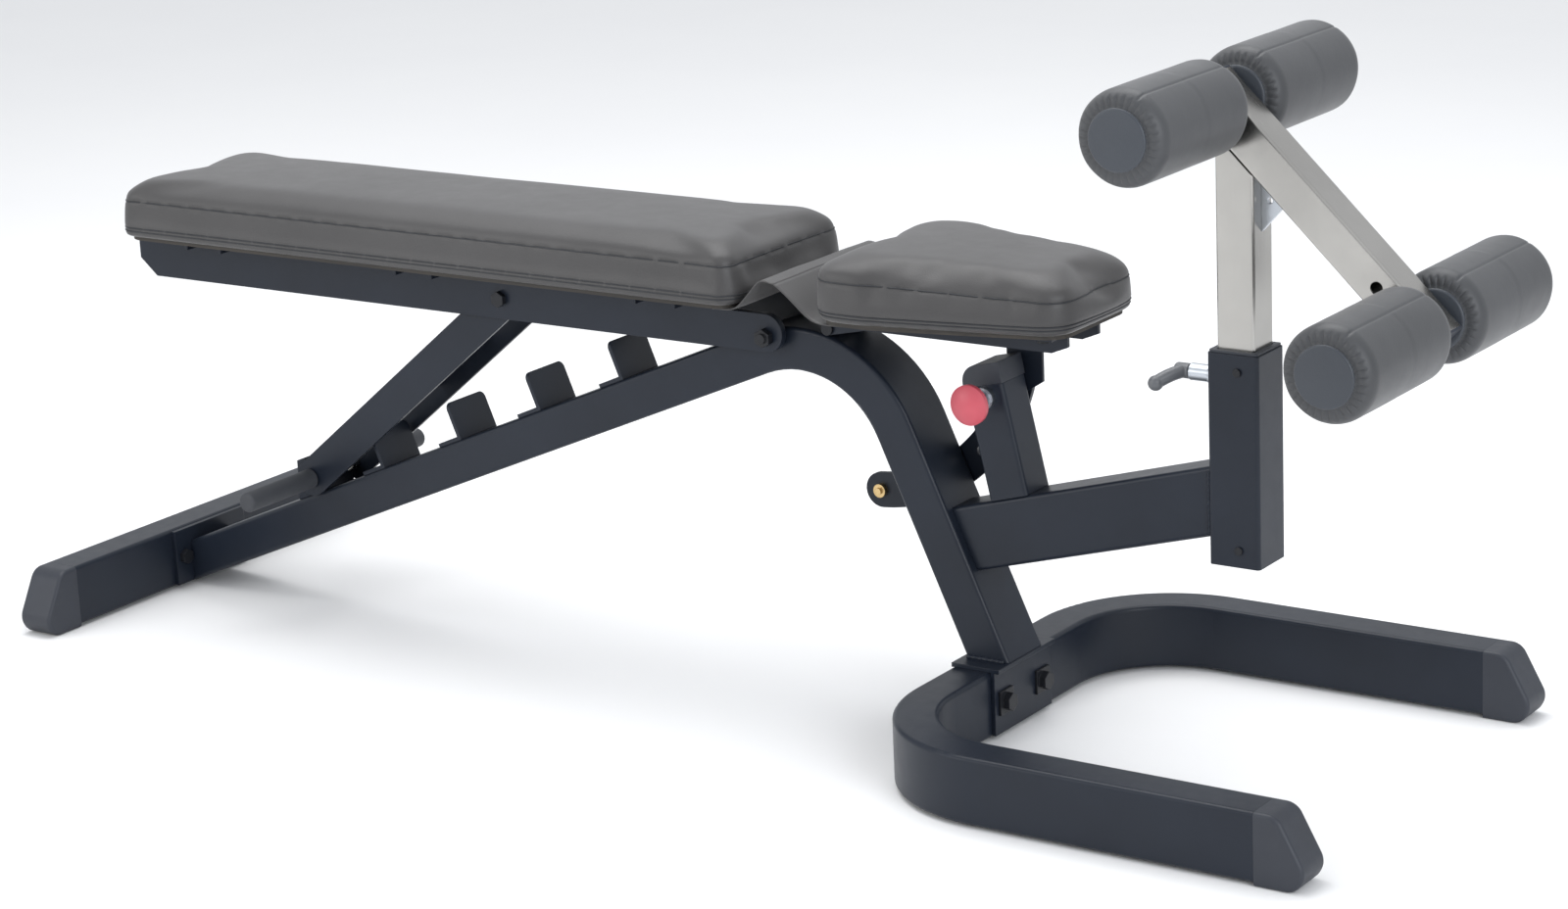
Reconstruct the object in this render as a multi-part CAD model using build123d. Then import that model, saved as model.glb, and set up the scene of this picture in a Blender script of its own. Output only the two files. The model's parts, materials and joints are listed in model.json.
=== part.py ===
from build123d import *
from math import cos, hypot, radians, sin, tan, atan2, degrees
import os

os.makedirs("parts", exist_ok=True)

# Adjustable bench with a leg hold-down. Millimetres. +X is the leg end, +Y is to the left of a
# person lying on it, +Z is up. The origin is on the floor, in the middle of the overall box.

# ---- stock -------------------------------------------------------------------------------------
TUBE_W = 50.8            # the 2 inch side of the 2 x 3 inch tube
TUBE_H = 76.2            # its 3 inch side
TUBE_WALL = 2.5
TUBE_CORNER = 5.0
POST_W = 44.45           # chromed square tube, 1 3/4 inch
POST_WALL = 2.0
SLEEVE_W = 60.3
SLEEVE_WALL = 3.0
PLATE = 5.0
FLANGE_PLATE = 6.0
RUN_FIT = 0.05           # radial clearance of a pin or shaft that turns or slides

# ---- floor frame -------------------------------------------------------------------------------
FOOT_LIFT = 4.0          # the tubes stand this far off the floor on their end caps
TUBE_TOP = FOOT_LIFT + TUBE_H
BASE_HALF_Y = 278.0      # centre line of each U leg
BASE_X = 346.0           # centre line of the cross part of the U
BASE_BEND_R = 140.0
BASE_SEAM_X = 823.9
REAR_X = -894.1          # centre line of the rear stabilizer
REAR_HALF = 240.0
CAP_TOP = 26.0           # length of an end cap along its top
CAP_BOTTOM = 56.0        # and at its nose
CAP_PLUG = 34.0
CAP_ROUND = 9.0
SADDLE_HALF = 62.0
SADDLE_TOP = TUBE_TOP + PLATE
SADDLE_LIP = 6.0

# ---- main beam: one tube, laid flat, bent down into the front leg --------------------------------
BEAM_SLOPE = 22.35
LEG_SLOPE = 65.6
BEAM_BEND_R = 140.0
BEAM_REAR_POINT = (-784.2, 64.5)     # a point on the centre line of the long straight (x, z)
LEG_POINT = (329.4, 137.5)           # a point on the centre line of the leg
FLANGE_FRONT_X = REAR_X + TUBE_W / 2 + FLANGE_PLATE

# ---- backrest ----------------------------------------------------------------------------------
HINGE = (80.5, 436.0)
HINGE_D = 12.0
RAIL_Z = (418.0, 463.0)
RAIL_Y = (46.0, 54.0)
RAIL_REAR_X = -889.0
CROSS_TOP = 480.0
CROSS_X = (-760.0, -420.0, -60.0)
CROSS_LENGTH = 60.0
BOARD = 10.0
BOARD_INSET = 16.0
PAD_X = (-868.5, 88.0)
PAD_HALF = 131.0
PAD_TOP = 545.0
PAD_CORNER = 34.0
PAD_EDGE = 15.0

# ---- strut and ladder ---------------------------------------------------------------------------
STRUT_PIVOT = (-303.5, 443.0)
STRUT_BAR = (-636.5, 175.0)
STRUT_Y = (39.5, 44.5)
STRUT_HALF = 23.0
STRUT_BOLT_D = 10.0
BAR_D = 16.0
GRIP_Y = (47.0, 168.0)
GRIP_D = 25.0
CATCH_X = (-145.5, -272.5, -399.5, -526.5)
END_CATCH_X = -636.4
CATCH_TALL = 48.0
CATCH_FOOT = 33.0
CATCH_HALF = 35.0

# ---- seat ---------------------------------------------------------------------------------------
SEAT_PIVOT = (154.0, 449.5)
SEAT_BOLT_D = 8.0
SEAT_LUG_D = 17.0
SEAT_RAIL_Y = (31.0, 36.0)
SEAT_RAIL_TOP = 478.0
SEAT_RAIL_BOTTOM = 452.0
SEAT_RAIL_END = 466.0
SEAT_PAD_X = (181.0, 497.0)
SEAT_REAR_HALF = 136.0
SEAT_FRONT_HALF = 90.0
SEAT_PAD_TOP = 543.0
SEAT_CORNER = 42.0
ARC_R = 209.0
ARC_WIDE = 42.0
ARC_Y = (40.0, 46.0)
ARC_FROM = -86.0
ARC_TO = -9.0
PIN_ANGLE = -16.8
HOLE_STEP = 9.0
PIN_HOLES = 5
PIN_D = 9.5
KNOB_D = 46.0
KNOB_RIM_Y = -63.0
KNOB_DOME = 8.0
PIN_AT = (SEAT_PIVOT[0] + ARC_R * cos(radians(PIN_ANGLE)),
          SEAT_PIVOT[1] + ARC_R * sin(radians(PIN_ANGLE)))

# ---- front arm, sleeve and leg hold-down ----------------------------------------------------------
ARM_SLOPE = 15.3
SLEEVE_X = 632.5 + SLEEVE_W / 2
SLEEVE_Z = (237.0, 472.0)
ARM_END_Z = 305.0        # centre height of the arm where it meets the sleeve
POST_FOOT_Z = 252.0
LEG_PIN_Z = 440.0
POST_LEAN = 12.9
POST_TOP_AT = (350.0, 402.0)
UPPER_AXLE = (640.5, 737.0)
LOWER_AXLE = (867.5, 518.0)
ARM_PAST_AXLE = 24.0
AXLE_D = 25.4
AXLE_HALF = 222.0
ROLLER_D = 104.0
ROLLER_Y = (31.0, 226.0)
ROLLER_BORE = 26.0
DISC_D = 66.0
DISC_THICK = 3.0

SADDLE_BOLT_Y = (-40.0, 40.0)
SADDLE_BOLT_D = 12.0
FLANGE_BOLT_Y = 51.0
FLANGE_BOLT_D = 10.0
CAP_H = 24.0
CAP_ROUND = 20.0
CAP_PLUG_DEPTH = 7.0
LEG_C = cos(radians(LEG_SLOPE))
LEG_S = sin(radians(LEG_SLOPE))


# ---- shared shapes --------------------------------------------------------------------------------
def block(x, y, z):
    """A box between three pairs of limits."""
    low = (Align.MIN, Align.MIN, Align.MIN)
    return Pos(x[0], y[0], z[0]) * Box(x[1] - x[0], y[1] - y[0], z[1] - z[0], align=low)


def slab(outline, y):
    """A plate standing in the XZ plane: an outline drawn in x and z, from y[0] to y[1]."""
    return extrude(Plane.XZ.offset(-y[1]) * outline, amount=y[1] - y[0])


def polygon(points):
    """A closed outline with straight sides."""
    return make_face(Polyline(*points, close=True))


def rod(start, end, diameter):
    """A round bar between two points."""
    run = Vector(*end) - Vector(*start)
    return extrude(Plane(origin=start, z_dir=run.normalized()) * Circle(diameter / 2), amount=run.length)


def cross_rod(at, y, diameter):
    """A round bar along Y, at a place in x and z."""
    return rod((at[0], y[0], at[1]), (at[0], y[1], at[1]), diameter)


def cross_hex(at, y, across):
    """A hexagonal head or nut along Y."""
    flats = RegularPolygon(across / 2, 6, major_radius=False)
    plane = Plane(origin=(at[0], y[0], at[1]), z_dir=(0, 1, 0))
    return extrude(plane * flats, amount=y[1] - y[0])


def long_hex(x, at, across):
    """A hexagonal head or nut along X, at a place in y and z."""
    flats = RegularPolygon(across / 2, 6, major_radius=False)
    return extrude(Plane(origin=(x[0], at[0], at[1]), z_dir=(1, 0, 0)) * flats, amount=x[1] - x[0])


def tube(path, width, depth, wall, corner, across):
    """A square tube along a path, with its width along the direction across."""
    plane = Plane(origin=path @ 0, x_dir=across, z_dir=path % 0)
    inner = RectangleRounded(width - 2 * wall, depth - 2 * wall, corner - wall * 0.8)
    return sweep(plane * (RectangleRounded(width, depth, corner) - inner), path=path)


def mirrored(shape):
    """The same shape on the other side of the bench."""
    return mirror(shape, about=Plane.XZ)


def save(name, shape):
    """Write one node."""
    shape.label = name
    export_step(shape, f"parts/{name}.step")


# ---- floor frame ----------------------------------------------------------------------------------
def u_base():
    """The U of tube on the floor, open to the front."""
    z = FOOT_LIFT + TUBE_H / 2
    path = FilletPolyline(
        (BASE_SEAM_X, -BASE_HALF_Y, z),
        (BASE_X, -BASE_HALF_Y, z),
        (BASE_X, BASE_HALF_Y, z),
        (BASE_SEAM_X, BASE_HALF_Y, z),
        radius=BASE_BEND_R,
    )
    body = tube(path, TUBE_W, TUBE_H, TUBE_WALL, TUBE_CORNER, (0, 1, 0))
    for y in SADDLE_BOLT_Y:
        body -= rod((BASE_X - TUBE_W, y, z), (BASE_X + TUBE_W, y, z), SADDLE_BOLT_D)
    return body


def end_cap():
    """A plastic cap with a slanted nose, pointing along +X from its seam at x = 0."""
    nose = FilletPolyline(
        (0, TUBE_TOP),
        (CAP_TOP, TUBE_TOP),
        (CAP_BOTTOM + 2.0, 22.0),
        (CAP_BOTTOM - 10.0, 0),
        (0, 0),
        radius=CAP_ROUND,
    )
    outline = make_face(nose + Line((0, 0), (0, TUBE_TOP)))
    body = slab(outline, (-TUBE_W / 2, TUBE_W / 2))
    ends = body.edges().filter_by(
        lambda e: abs(e.center().X) > 1 and abs(abs(e.center().Y) - TUBE_W / 2) < 0.01
    )
    body = fillet(ends, 5.0)
    fit = TUBE_WALL + 0.2
    plug = block((-CAP_PLUG, 0.5), (-TUBE_W / 2 + fit, TUBE_W / 2 - fit), (FOOT_LIFT + fit, TUBE_TOP - fit))
    plug = fillet(plug.edges().filter_by(Axis.X), 4.0)
    core = fit + 3.0
    plug -= block((-CAP_PLUG - 1, -1), (-TUBE_W / 2 + core, TUBE_W / 2 - core),
                  (FOOT_LIFT + core, TUBE_TOP - core))
    return body + plug




def saddle():
    """The bracket over the middle of the U that the leg is welded to."""
    front = BASE_X + TUBE_W / 2
    top_x = (BASE_X - TUBE_W / 2, front + PLATE + SADDLE_LIP)
    top = block(top_x, (-SADDLE_HALF, SADDLE_HALF), (TUBE_TOP, SADDLE_TOP))
    face = block((front, front + PLATE), (-SADDLE_HALF, SADDLE_HALF), (FOOT_LIFT + 2, TUBE_TOP))
    body = top + face
    z = FOOT_LIFT + TUBE_H / 2
    for y in SADDLE_BOLT_Y:
        body -= rod((front - 1, y, z), (front + PLATE + 1, y, z), SADDLE_BOLT_D)
    return body


def saddle_bolts():
    """The two bolts through the U with their nuts, each head on a square washer."""
    z = FOOT_LIFT + TUBE_H / 2
    face = BASE_X + TUBE_W / 2 + PLATE
    back = BASE_X - TUBE_W / 2
    bolts = []
    for y in SADDLE_BOLT_Y:
        bolt = rod((back - 12, y, z), (face + 4, y, z), SADDLE_BOLT_D)
        bolt += block((face, face + 3), (y - 14, y + 14), (z - 14, z + 14))
        bolt += long_hex((face + 3, face + 11), (y, z), 19.0)
        bolts.append(bolt + long_hex((back - 10, back), (y, z), 19.0))
    return bolts


def beam_line():
    """The corner of the beam's centre line and the foot of the leg, from the two straights."""
    bx, bz = BEAM_REAR_POINT
    slope = tan(radians(BEAM_SLOPE))
    fall = tan(radians(LEG_SLOPE))
    x = (LEG_POINT[1] - bz + slope * bx + fall * LEG_POINT[0]) / (slope + fall)
    corner = (x, bz + slope * (x - bx))
    rear = (bx - 150.0, bz - slope * 150.0)
    foot = (LEG_POINT[0] + 100.0 / fall, LEG_POINT[1] - 100.0)
    return rear, corner, foot


def main_beam():
    """The long flat tube with its bend and the leg, cut square to the flange and to the saddle."""
    rear, corner, foot = beam_line()
    points = [(x, 0, z) for x, z in (rear, corner, foot)]
    path = FilletPolyline(*points, radius=BEAM_BEND_R)
    body = tube(path, TUBE_H, TUBE_W, TUBE_WALL, TUBE_CORNER, (0, 1, 0))
    body &= block((FLANGE_FRONT_X, 700), (-60, 60), (-100, 600))
    body -= block((200, 700), (-60, 60), (-100, SADDLE_TOP))
    body -= cross_rod(HINGE, (-60, 60), HINGE_D)
    return body


def rear_stabilizer():
    """The straight cross tube at the rear."""
    z = FOOT_LIFT + TUBE_H / 2
    path = Line((REAR_X, -REAR_HALF, z), (REAR_X, REAR_HALF, z))
    body = tube(path, TUBE_W, TUBE_H, TUBE_WALL, TUBE_CORNER, (1, 0, 0))
    for y in (-FLANGE_BOLT_Y, FLANGE_BOLT_Y):
        body -= rod((REAR_X - TUBE_W, y, z), (REAR_X + TUBE_W, y, z), FLANGE_BOLT_D)
    return body




def beam_flange():
    """The plate on the beam's rear end, against the stabilizer."""
    z = FOOT_LIFT + TUBE_H / 2
    plate = block((FLANGE_FRONT_X - FLANGE_PLATE, FLANGE_FRONT_X), (-66, 66), (FOOT_LIFT + 2, TUBE_TOP - 2))
    for y in (-FLANGE_BOLT_Y, FLANGE_BOLT_Y):
        plate -= rod((FLANGE_FRONT_X - 20, y, z), (FLANGE_FRONT_X + 20, y, z), FLANGE_BOLT_D)
    return plate


def flange_bolts():
    """Two hex bolts through the flange and the stabilizer."""
    z = FOOT_LIFT + TUBE_H / 2
    back = REAR_X - TUBE_W / 2
    bolts = []
    for y in (-FLANGE_BOLT_Y, FLANGE_BOLT_Y):
        bolt = rod((back + 0.5, y, z), (FLANGE_FRONT_X + 3, y, z), FLANGE_BOLT_D)
        bolt += long_hex((FLANGE_FRONT_X, FLANGE_FRONT_X + 7), (y, z), 17.0)
        bolts.append(bolt)
    return bolts


# ---- ladder ---------------------------------------------------------------------------------------
def on_beam_top(x):
    """A location on the top face of the beam above x, with its X axis up the slope."""
    bx, bz = BEAM_REAR_POINT
    rise = tan(radians(BEAM_SLOPE))
    z = bz + rise * (x - bx) + TUBE_W / 2 / cos(radians(BEAM_SLOPE))
    return Location((x, 0, z), (0, -BEAM_SLOPE, 0))


def ladder_catch(x):
    """A bent plate: a foot along the beam and an upright with rounded corners."""
    foot = block((-CATCH_FOOT, PLATE), (-CATCH_HALF, CATCH_HALF), (0, PLATE))
    face = block((0, PLATE), (-CATCH_HALF, CATCH_HALF), (0, CATCH_TALL))
    corners = face.edges().filter_by(Axis.X).group_by(Axis.Z)[-1]
    return on_beam_top(x) * (fillet(corners, 9.0) + foot)


def end_catch():
    """The last catch: a thicker stop with a cheek on each side, which holds the strut's bar."""
    stop = block((-34, 0), (-CATCH_HALF, CATCH_HALF), (0, PLATE))
    stop += block((-PLATE, 0), (-CATCH_HALF, CATCH_HALF), (0, CATCH_TALL))
    cheek = slab(polygon([(-34, 0), (0, 0), (0, CATCH_TALL), (-14, CATCH_TALL)]), (30, CATCH_HALF))
    return on_beam_top(END_CATCH_X) * (stop + cheek + mirrored(cheek))


# ---- hinges on the beam -----------------------------------------------------------------------------
def hinge_bolt():
    """The backrest's hinge bolt through the beam, with a hex head and a nut."""
    body = cross_rod(HINGE, (-66, 66), HINGE_D)
    body += cross_hex(HINGE, (-63, -55), 19.0)
    body += cross_hex(HINGE, (55, 64), 19.0)
    return body


def hinge_spacers():
    """The turned spacers between the beam and the rails."""
    ring = cross_rod(HINGE, (TUBE_H / 2, RAIL_Y[0] - 0.3), 24.0) - cross_rod(HINGE, (30, 60), HINGE_D)
    return [ring, mirrored(ring)]


def seat_hinge_tube():
    """The pivot tube welded on top of the bend."""
    half = SEAT_RAIL_Y[0] - 0.4
    body = cross_rod(SEAT_PIVOT, (-half, half), SEAT_LUG_D)
    return body - cross_rod(SEAT_PIVOT, (-half - 1, half + 1), SEAT_BOLT_D)


def seat_pivot_bolt():
    """The seat's pivot bolt, with low round heads outside the seat rails."""
    end = SEAT_RAIL_Y[1] + 0.4
    body = cross_rod(SEAT_PIVOT, (-end - 3, end + 3), SEAT_BOLT_D)
    body += cross_rod(SEAT_PIVOT, (-end - 3, -end), 15.0)
    body += cross_rod(SEAT_PIVOT, (end, end + 3), 15.0)
    return body


# ---- backrest ---------------------------------------------------------------------------------------
def backrest_rail():
    """One flat bar, round at the hinge and chamfered at the rear."""
    radius = (RAIL_Z[1] - RAIL_Z[0]) / 2
    middle = (RAIL_Z[0] + RAIL_Z[1]) / 2
    outline = polygon([
        (RAIL_REAR_X, RAIL_Z[1]),
        (HINGE[0], RAIL_Z[1]),
        (HINGE[0], RAIL_Z[0]),
        (RAIL_REAR_X + 26, RAIL_Z[0]),
        (RAIL_REAR_X, RAIL_Z[0] + 22),
    ])
    outline += Pos(HINGE[0], middle) * Circle(radius)
    body = slab(outline, RAIL_Y)
    body -= cross_rod(HINGE, (40, 60), HINGE_D + 2 * RUN_FIT)
    return body - cross_rod(STRUT_PIVOT, (40, 60), STRUT_BOLT_D)


def cross_channels():
    """The three pressed channels across the rails that the board is bolted to."""
    parts = []
    for x in CROSS_X:
        half = CROSS_LENGTH / 2
        body = block((x - half, x + half), (-75, 75), (RAIL_Z[1], CROSS_TOP))
        body -= block((x - half + 4, x + half - 4), (-76, 76), (RAIL_Z[1] - 1, CROSS_TOP - 4))
        parts.append(body)
    return Compound(children=parts)


def pad_bolts(places, under):
    """Button heads under a board, one at each place in x and y."""
    heads = []
    for x, y in places:
        heads.append(rod((x, y, under - 5), (x, y, under), 14.0))
    return heads


def cushion(outline, low, high, edge):
    """A plain closed pad over an outline, with rounded top and bottom edges."""
    body = extrude(Plane.XY.offset(low) * outline, amount=high - low)
    body = fillet(body.edges().group_by(Axis.Z)[-1], edge)
    return fillet(body.edges().group_by(Axis.Z)[0], 4.0)


def rectangle_plan(x, half, corner):
    """A rounded rectangle in plan."""
    return Pos((x[0] + x[1]) / 2, 0) * RectangleRounded(x[1] - x[0], 2 * half, corner)


def backrest_pad():
    """The soft part of the backrest."""
    return cushion(rectangle_plan(PAD_X, PAD_HALF, PAD_CORNER), CROSS_TOP + BOARD, PAD_TOP, PAD_EDGE)


def backrest_board():
    """The plywood under the backrest's foam."""
    span_x = (PAD_X[0] + BOARD_INSET, PAD_X[1] - BOARD_INSET)
    plan = rectangle_plan(span_x, PAD_HALF - BOARD_INSET, PAD_CORNER - 8)
    return extrude(Plane.XY.offset(CROSS_TOP) * plan, amount=BOARD)


def strut_pivot_bolt():
    """The bolt through the rails that the strut swings on."""
    body = cross_rod(STRUT_PIVOT, (-60, 60), STRUT_BOLT_D)
    body += cross_hex(STRUT_PIVOT, (-61, -RAIL_Y[1]), 17.0)
    return body + cross_hex(STRUT_PIVOT, (RAIL_Y[1], 62), 17.0)


# ---- strut ------------------------------------------------------------------------------------------
def strut_frame():
    """Middle, length and angle of the line from the strut's pivot to its bar."""
    run = (STRUT_BAR[0] - STRUT_PIVOT[0], STRUT_BAR[1] - STRUT_PIVOT[1])
    middle = ((STRUT_BAR[0] + STRUT_PIVOT[0]) / 2, (STRUT_BAR[1] + STRUT_PIVOT[1]) / 2)
    return middle, hypot(*run), degrees(atan2(run[1], run[0]))


def strut_plate():
    """One side plate of the strut, round at both ends."""
    middle, length, angle = strut_frame()
    outline = Pos(*middle) * Rot(0, 0, angle) * SlotCenterToCenter(length, 2 * STRUT_HALF)
    body = slab(outline, STRUT_Y)
    body -= cross_rod(STRUT_PIVOT, (30, 60), STRUT_BOLT_D + 2 * RUN_FIT)
    return body - cross_rod(STRUT_BAR, (30, 60), BAR_D)


def strut_web():
    """The plate between the two sides, part way up the strut."""
    middle, length, angle = strut_frame()
    near = length / 2 - 300.0
    far = length / 2 - 190.0
    outline = Pos(*middle) * Rot(0, 0, angle) * (Pos((near + far) / 2, 0) * Rectangle(far - near, 4.0))
    return slab(outline, (-STRUT_Y[0], STRUT_Y[0]))


def catch_bar():
    """The round bar that sits in the ladder and carries the two grips."""
    return cross_rod(STRUT_BAR, (-GRIP_Y[1] + 3, GRIP_Y[1] - 3), BAR_D)


def grip():
    """A rubber sleeve with a closed, rounded end."""
    body = cross_rod(STRUT_BAR, GRIP_Y, GRIP_D)
    body = fillet(body.edges().group_by(Axis.Y)[-1], 5.0)
    return body - cross_rod(STRUT_BAR, (GRIP_Y[0] - 1, GRIP_Y[1] - 3), BAR_D)


# ---- seat -------------------------------------------------------------------------------------------
def seat_rail():
    """A side plate under the seat, low at its pivot to leave room for the backrest."""
    px, pz = SEAT_PIVOT
    radius = 8.0
    outline = polygon([
        (px, pz + radius),
        (px + 26, SEAT_RAIL_TOP),
        (SEAT_RAIL_END, SEAT_RAIL_TOP),
        (SEAT_RAIL_END, SEAT_RAIL_BOTTOM + 8),
        (SEAT_RAIL_END - 20, SEAT_RAIL_BOTTOM),
        (px + 50, SEAT_RAIL_BOTTOM),
        (px, pz - radius),
    ])
    outline += Pos(px, pz) * Circle(radius)
    return slab(outline, SEAT_RAIL_Y) - cross_rod(SEAT_PIVOT, (20, 50), SEAT_BOLT_D + 2 * RUN_FIT)


def seat_frame():
    """The two side plates, joined by cross plates under the board, with the bracket for the arc."""
    body = seat_rail() + mirrored(seat_rail())
    for x in (215.0, 430.0):
        body += block((x, x + 36), (-70, 70), (SEAT_RAIL_TOP - 4, SEAT_RAIL_TOP))
    bracket = slab(polygon([(345, SEAT_RAIL_TOP - 6), (391, SEAT_RAIL_TOP - 6), (391, 396), (372, 384),
                            (345, 410)]), (SEAT_RAIL_Y[1], ARC_Y[0]))
    return body + bracket - cross_rod(PIN_AT, (30, 60), PIN_D + 1)


def seat_arc():
    """The long curved plate with the row of pin holes, round at its tail."""
    inner = ARC_R - ARC_WIDE / 2
    outer = ARC_R + ARC_WIDE / 2
    sweep_angle = ARC_TO - ARC_FROM
    ring = Circle(outer) - Circle(inner)
    reach = 2 * outer
    middle = radians((ARC_FROM + ARC_TO) / 2)
    half = radians(sweep_angle / 2)
    wedge = polygon([
        (0, 0),
        (reach * cos(middle - half), reach * sin(middle - half)),
        (reach * cos(middle), reach * sin(middle)),
        (reach * cos(middle + half), reach * sin(middle + half)),
    ])
    tail = radians(ARC_FROM)
    outline = (ring & wedge) + Pos(ARC_R * cos(tail), ARC_R * sin(tail)) * Circle(ARC_WIDE / 2)
    body = slab(Pos(*SEAT_PIVOT) * outline, ARC_Y)
    for step in range(PIN_HOLES):
        angle = radians(PIN_ANGLE - step * HOLE_STEP)
        at = (SEAT_PIVOT[0] + ARC_R * cos(angle), SEAT_PIVOT[1] + ARC_R * sin(angle))
        body -= cross_rod(at, (30, 60), PIN_D + 1)
    return body - cross_rod(tail_at(), (30, 60), 8.0)


def tail_at():
    """Centre of the round tail of the arc plate."""
    tail = radians(ARC_FROM)
    return (SEAT_PIVOT[0] + ARC_R * cos(tail), SEAT_PIVOT[1] + ARC_R * sin(tail))


def seat_stop_bolt():
    """The stop bolt in the tail, with a brass ring on its near side."""
    body = cross_rod(tail_at(), (31, 52), 8.0)
    body += cross_hex(tail_at(), (ARC_Y[1], ARC_Y[1] + 5), 13.0)
    return body + cross_rod(tail_at(), (34, ARC_Y[0]), 16.0)


def seat_plan(inset):
    """The seat in plan: wide at the back, narrow at the front, with rounded corners."""
    x0, x1 = SEAT_PAD_X[0] + inset, SEAT_PAD_X[1] - inset
    rear, front = SEAT_REAR_HALF - inset, SEAT_FRONT_HALF - inset
    shape = polygon([(x0, -rear), (x0 + 70, -rear), (x1, -front), (x1, front), (x0 + 70, rear), (x0, rear)])
    shape = fillet(shape.vertices().filter_by(lambda v: abs(v.X - x0 - 70) > 1), SEAT_CORNER - inset)
    return fillet(shape.vertices().filter_by(lambda v: abs(v.X - x0 - 70) < 1), 80.0)


def seat_pad():
    """The soft part of the seat."""
    return cushion(seat_plan(0), SEAT_RAIL_TOP + BOARD, SEAT_PAD_TOP, PAD_EDGE)


def seat_board():
    """The plywood under the seat's foam."""
    return extrude(Plane.XY.offset(SEAT_RAIL_TOP) * seat_plan(BOARD_INSET), amount=BOARD)


# ---- front arm and seat post --------------------------------------------------------------------------
def leg_front_x(z):
    """The front face of the leg at a height."""
    return LEG_POINT[0] + TUBE_W / 2 * LEG_S + (LEG_POINT[1] + TUBE_W / 2 * LEG_C - z) * LEG_C / LEG_S


def arm_height(x):
    """Centre height of the arm."""
    return ARM_END_Z + tan(radians(ARM_SLOPE)) * (x - SLEEVE_X + SLEEVE_W / 2)


def front_arm():
    """The tube from the leg to the sleeve, standing on its narrow side."""
    end_x = SLEEVE_X - SLEEVE_W / 2
    path = Line((250, 0, arm_height(250)), (end_x + 40, 0, arm_height(end_x + 40)))
    body = tube(path, TUBE_W, TUBE_H, TUBE_WALL, TUBE_CORNER, (0, 1, 0))
    keep = polygon([(leg_front_x(0), 0), (end_x, 0), (end_x, 500), (leg_front_x(500), 500)])
    return body & slab(keep, (-60, 60))


def seat_post():
    """The leaning post on the arm that holds the seat's pull pin."""
    tx, tz = POST_TOP_AT
    lean = tan(radians(POST_LEAN))
    path = Line((tx + lean * 200, 0, tz - 200), (tx, 0, tz))
    body = tube(path, TUBE_W, TUBE_W, TUBE_WALL, TUBE_CORNER, (0, 1, 0))
    over = TUBE_H / 2 / cos(radians(ARM_SLOPE))
    keep = polygon([(250, arm_height(250) + over), (500, arm_height(500) + over), (500, 600), (250, 600)])
    body &= slab(keep, (-60, 60))
    return body - cross_rod(PIN_AT, (-60, 60), PIN_D + 2 * RUN_FIT)


def seat_post_cap():
    """The rounded plastic cap on the post."""
    tx, tz = POST_TOP_AT
    cap = Box(TUBE_W, TUBE_W, CAP_H, align=(Align.CENTER, Align.CENTER, Align.MIN))
    rear_edge = cap.edges().filter_by(Axis.Y).group_by(Axis.Z)[-1].sort_by(Axis.X)[0]
    cap = fillet(rear_edge, CAP_ROUND)
    plug = Box(TUBE_W - 6, TUBE_W - 6, CAP_PLUG_DEPTH, align=(Align.CENTER, Align.CENTER, Align.MAX))
    plug = fillet(plug.edges().filter_by(Axis.Z), 4.0)
    return Location((tx, 0, tz), (0, -POST_LEAN, 0)) * (cap + plug)


# ---- pull pins ------------------------------------------------------------------------------------------
def seat_pin_barrel():
    """The chromed barrel welded in the near side of the post."""
    body = cross_rod(PIN_AT, (-46, -TUBE_W / 2), 20.0) + cross_rod(PIN_AT, (-33, -TUBE_W / 2), 25.0)
    return body - cross_rod(PIN_AT, (-50, -20), PIN_D + 2 * RUN_FIT)


def seat_pin_plunger():
    """The sprung pin, drawn just short of the arc plate."""
    return cross_rod(PIN_AT, (-60, ARC_Y[0] - 0.5), PIN_D)


def seat_pin_knob():
    """The mushroom knob on the plunger."""
    hub = cross_rod(PIN_AT, (-58, -47), 20.0)
    rim = cross_rod(PIN_AT, (KNOB_RIM_Y, -58), KNOB_D)
    radius = ((KNOB_D / 2) ** 2 + KNOB_DOME**2) / (2 * KNOB_DOME)
    ball = Pos(PIN_AT[0], KNOB_RIM_Y - KNOB_DOME + radius, PIN_AT[1]) * Sphere(radius)
    dome = ball & block((PIN_AT[0] - 40, PIN_AT[0] + 40), (-90, KNOB_RIM_Y), (PIN_AT[1] - 40, PIN_AT[1] + 40))
    return hub + rim + dome - cross_rod(PIN_AT, (-60, -40), PIN_D)


def leg_pin_barrel():
    """The chromed barrel on the rear face of the sleeve."""
    face = SLEEVE_X - SLEEVE_W / 2
    body = rod((face - 34, 0, LEG_PIN_Z), (face, 0, LEG_PIN_Z), 19.0)
    body += rod((face - 10, 0, LEG_PIN_Z), (face, 0, LEG_PIN_Z), 24.0)
    return body - rod((face - 40, 0, LEG_PIN_Z), (face + 1, 0, LEG_PIN_Z), PIN_D + 2 * RUN_FIT)


def leg_pin_plunger():
    """The sprung pin of the hold-down, drawn just short of the post."""
    tip = SLEEVE_X - POST_W / 2 - 0.5
    return rod((SLEEVE_X - SLEEVE_W / 2 - 50, 0, LEG_PIN_Z), (tip, 0, LEG_PIN_Z), PIN_D)


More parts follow.
